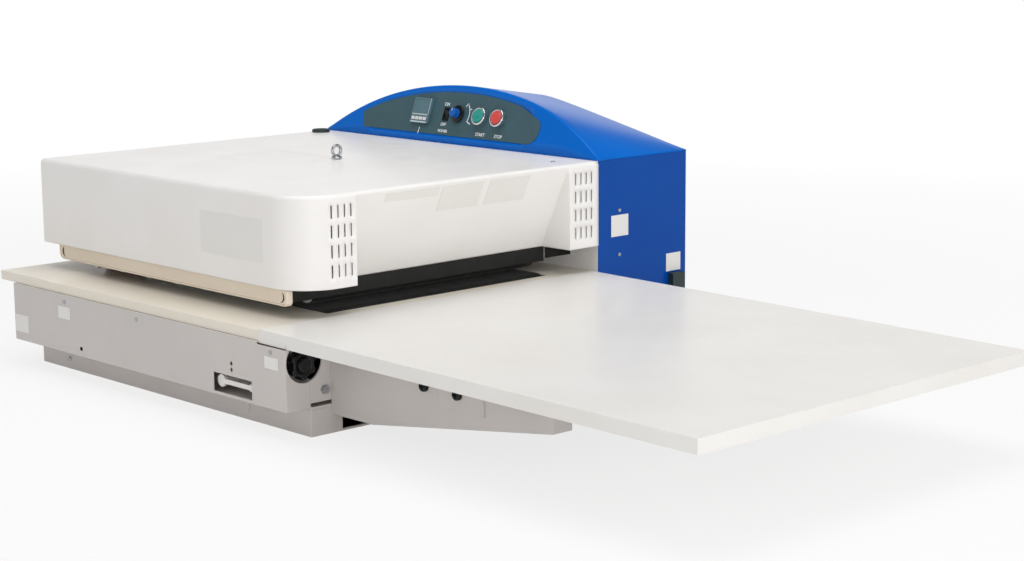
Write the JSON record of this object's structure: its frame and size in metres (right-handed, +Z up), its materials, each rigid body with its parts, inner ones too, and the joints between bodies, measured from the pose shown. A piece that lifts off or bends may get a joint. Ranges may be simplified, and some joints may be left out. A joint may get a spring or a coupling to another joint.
{
  "type": "conveyor belt heat press",
  "caption": "Desktop belt-fed heat press: a head cantilevered from a rear column over heated belts, with a work table, a long infeed table and an arched control panel.",
  "frame": {"origin": "on the floor, under the middle of the belts, on the plinth's flat underside", "axes": "+X from the belts toward the infeed table, +Y toward the column at the back, +Z up"},
  "size_m": [1.617, 0.9418, 0.4533],
  "materials": {
    "white_paint": "gloss powder coat",
    "grey_paint": "satin powder coat",
    "beige_paint": "satin powder coat",
    "blue_paint": "gloss paint",
    "frame_paint": "satin paint",
    "panel_film": "matte overlay film",
    "black_plastic": "fine texture",
    "dark_plastic": "fine texture",
    "key_plastic": "gloss",
    "window": "dark clear window",
    "steel": "brushed",
    "chrome": "polished",
    "aluminium": "machined",
    "belt_cloth": "coated cloth, matte",
    "silicone": "matte silicone",
    "green_button": "gloss",
    "red_button": "gloss",
    "blue_knob": "gloss",
    "board": "solder resist",
    "blank_label": "blank film",
    "gear_steel": "machined"
  },
  "bodies": {
    "machine": {"plinth": "grey_paint", "chassis": "grey_paint", "base_front_cover": "grey_paint", "work_table": "white_paint", "infeed_table": "white_paint", "infeed_brackets": "grey_paint", "table_cross_channel": "grey_paint", "bracket_screws": "black_plastic", "column_frame": "frame_paint", "column_front_panel": "white_paint", "column_skin_right": "blue_paint", "column_skin_left": "blue_paint", "column_rear_panel": "blue_paint", "arch_cover": "blue_paint", "control_plate": "panel_film", "temp_controller": "dark_plastic", "controller_window": "window", "rocker_frame": "black_plastic", "speed_pot": "dark_plastic", "button_rings": "chrome", "control_board": "board", "power_unit": "steel", "power_inlet": "black_plastic", "side_terminal": "dark_plastic", "head_frame": "frame_paint", "head_cover": "white_paint", "upper_rails": "beige_paint", "roller_bearings": "steel", "upper_belt": "belt_cloth", "upper_heater": "aluminium", "entry_guide_bar": "steel", "infeed_guard": "black_plastic", "lower_rails": "steel", "lower_belt": "belt_cloth", "lower_heater": "aluminium", "scrapers": "steel", "drive_motor": "frame_paint", "top_fittings": "chrome", "cover_screws": "steel", "labels": "blank_label"},
    "lower_drive": {"lower_drive_roller": "silicone", "lower_gear": "gear_steel"},
    "upper_drive": {"upper_drive_roller": "silicone", "upper_gear": "gear_steel"},
    "upper_infeed": {"upper_infeed_roller": "aluminium"},
    "upper_press": {"upper_press_roller": "silicone"},
    "lower_press": {"lower_press_roller": "silicone"},
    "carriage": {"tension_carriage": "steel"},
    "lower_infeed": {"lower_infeed_roller": "aluminium"},
    "lever": {"tension_lever": "white_paint"},
    "pinion": {"motor_pinion": "gear_steel"},
    "tracking": {"tracking_knob": "black_plastic"},
    "start": {"start_button": "green_button"},
    "stop": {"stop_button": "red_button"},
    "rocker": {"power_rocker": "black_plastic"},
    "speed": {"speed_knob": "blue_knob"},
    "set_key": {"key_set": "key_plastic"},
    "shift_key": {"key_shift": "key_plastic"},
    "down_key": {"key_down": "key_plastic"},
    "up_key": {"key_up": "key_plastic"}
  },
  "joints": [
    {"name": "lower_drive_spin", "type": "hinge", "parent": "machine", "child": "lower_drive", "pos_m": [-0.276, 0, 0.132], "axis": [0, 1, 0], "continuous": true},
    {"name": "upper_drive_spin", "type": "hinge", "parent": "machine", "child": "upper_drive", "pos_m": [-0.276, 0, 0.188], "axis": [0, 1, 0], "continuous": true},
    {"name": "upper_infeed_spin", "type": "hinge", "parent": "machine", "child": "upper_infeed", "pos_m": [0.275, 0, 0.19], "axis": [0, 1, 0], "continuous": true},
    {"name": "upper_press_spin", "type": "hinge", "parent": "machine", "child": "upper_press", "pos_m": [-0.215, 0, 0.182], "axis": [0, 1, 0], "continuous": true},
    {"name": "lower_press_spin", "type": "hinge", "parent": "machine", "child": "lower_press", "pos_m": [-0.215, 0, 0.138], "axis": [0, 1, 0], "continuous": true},
    {"name": "carriage_slide", "type": "slide", "parent": "machine", "child": "carriage", "axis": [-1, 0, 0], "range_m": [0, 0.0053]},
    {"name": "lower_infeed_spin", "type": "hinge", "parent": "carriage", "child": "lower_infeed", "pos_m": [0.304, 0, 0.136], "axis": [0, 1, 0], "continuous": true},
    {"name": "tension_lever_turn", "type": "hinge", "parent": "machine", "child": "lever", "pos_m": [0.258, -0.389, 0.066], "axis": [0, -1, 0], "range_deg": [0, 25]},
    {"name": "motor_pinion_spin", "type": "hinge", "parent": "machine", "child": "pinion", "pos_m": [-0.276, 0, 0.09], "axis": [0, 1, 0], "continuous": true},
    {"name": "tracking_knob_turn", "type": "hinge", "parent": "machine", "child": "tracking", "pos_m": [0.42, -0.361, 0.112], "axis": [1, 0, 0], "range_deg": [-360, 360]},
    {"name": "start_press", "type": "slide", "parent": "machine", "child": "start", "axis": [0, 0.9397, -0.342], "range_m": [0, 0.004], "stiffness_N_per_m": 500},
    {"name": "stop_press", "type": "slide", "parent": "machine", "child": "stop", "axis": [0, 0.9397, -0.342], "range_m": [0, 0.004], "stiffness_N_per_m": 500},
    {"name": "power_rock", "type": "hinge", "parent": "machine", "child": "rocker", "pos_m": [-0.036, 0.33847, 0.39974], "axis": [1, 0, 0], "range_deg": [-20, 0]},
    {"name": "speed_turn", "type": "hinge", "parent": "machine", "child": "speed", "pos_m": [-0.004, 0.33915, 0.40162], "axis": [0, -0.9397, 0.342], "range_deg": [-150, 150]},
    {"name": "set_key_press", "type": "slide", "parent": "machine", "child": "set_key", "axis": [0, 0.9397, -0.342], "range_m": [0, 0.001], "stiffness_N_per_m": 300},
    {"name": "shift_key_press", "type": "slide", "parent": "machine", "child": "shift_key", "axis": [0, 0.9397, -0.342], "range_m": [0, 0.001], "stiffness_N_per_m": 300},
    {"name": "down_key_press", "type": "slide", "parent": "machine", "child": "down_key", "axis": [0, 0.9397, -0.342], "range_m": [0, 0.001], "stiffness_N_per_m": 300},
    {"name": "up_key_press", "type": "slide", "parent": "machine", "child": "up_key", "axis": [0, 0.9397, -0.342], "range_m": [0, 0.001], "stiffness_N_per_m": 300}
  ],
  "couplings": [
    {"joint": "upper_drive_spin", "follows": "lower_drive_spin", "ratio": -1},
    {"joint": "upper_infeed_spin", "follows": "lower_drive_spin", "ratio": -1.1739},
    {"joint": "upper_press_spin", "follows": "lower_drive_spin", "ratio": -1.2857},
    {"joint": "lower_press_spin", "follows": "lower_drive_spin", "ratio": 1.2857},
    {"joint": "lower_infeed_spin", "follows": "lower_drive_spin", "ratio": 1.1739},
    {"joint": "motor_pinion_spin", "follows": "lower_drive_spin", "ratio": -2},
    {"joint": "carriage_slide", "follows": "tension_lever_turn", "m_per_rad": 0.012}
  ]
}
